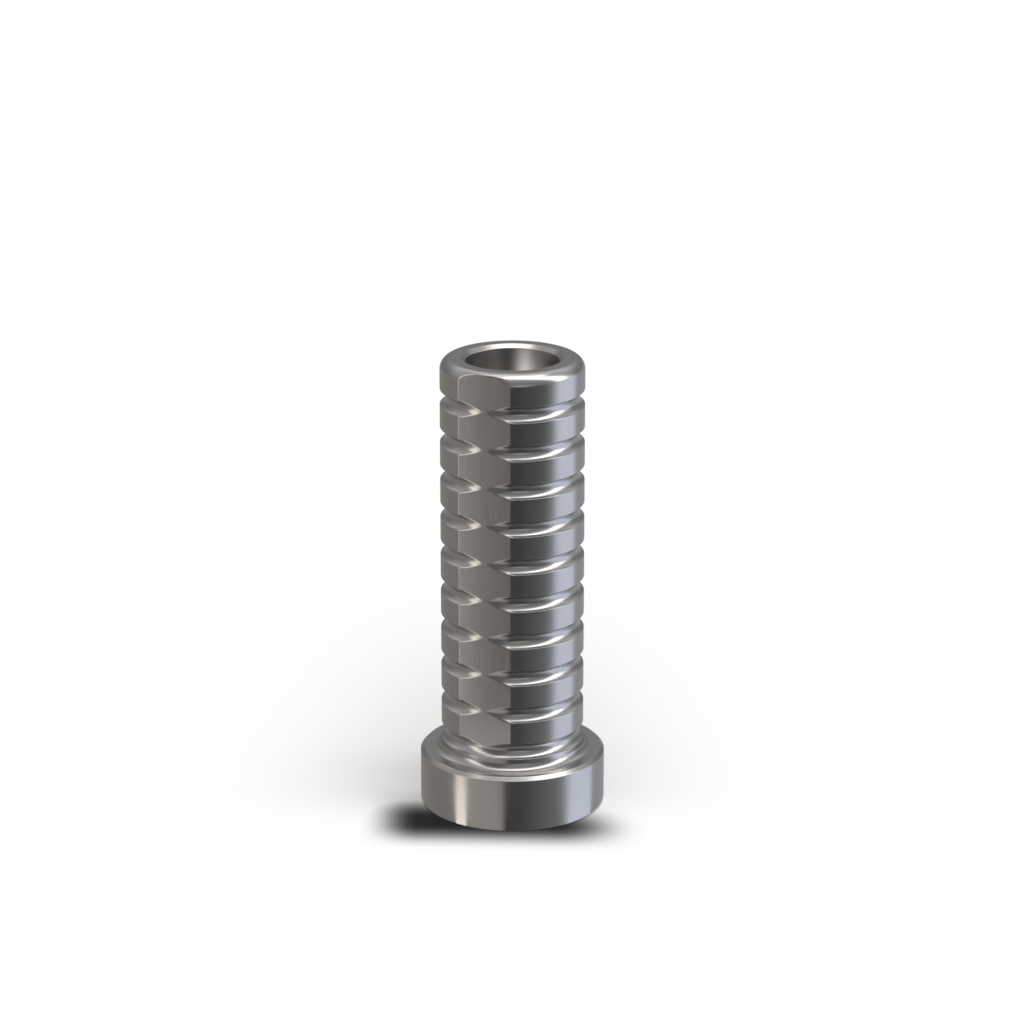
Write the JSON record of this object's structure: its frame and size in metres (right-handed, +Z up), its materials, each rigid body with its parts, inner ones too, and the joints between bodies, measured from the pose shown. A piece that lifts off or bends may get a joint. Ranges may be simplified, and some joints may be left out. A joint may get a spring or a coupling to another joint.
{
  "type": "dental abutment",
  "caption": "Turned titanium sleeve for a screw-retained dental restoration, with a seating flange, a grooved retention shaft, a long flat and a stepped screw channel.",
  "frame": {"origin": "centre of the annular seating face at the bottom of the flange", "axes": "+Z up along the axis of the sleeve, from the seating flange to the open top; the flat on the shaft faces -Y"},
  "size_m": [0.0048, 0.0048, 0.012],
  "materials": {
    "titanium": "fine turned titanium, satin grey"
  },
  "bodies": {
    "root": {"abutment_sleeve": "titanium"}
  },
  "joints": []
}
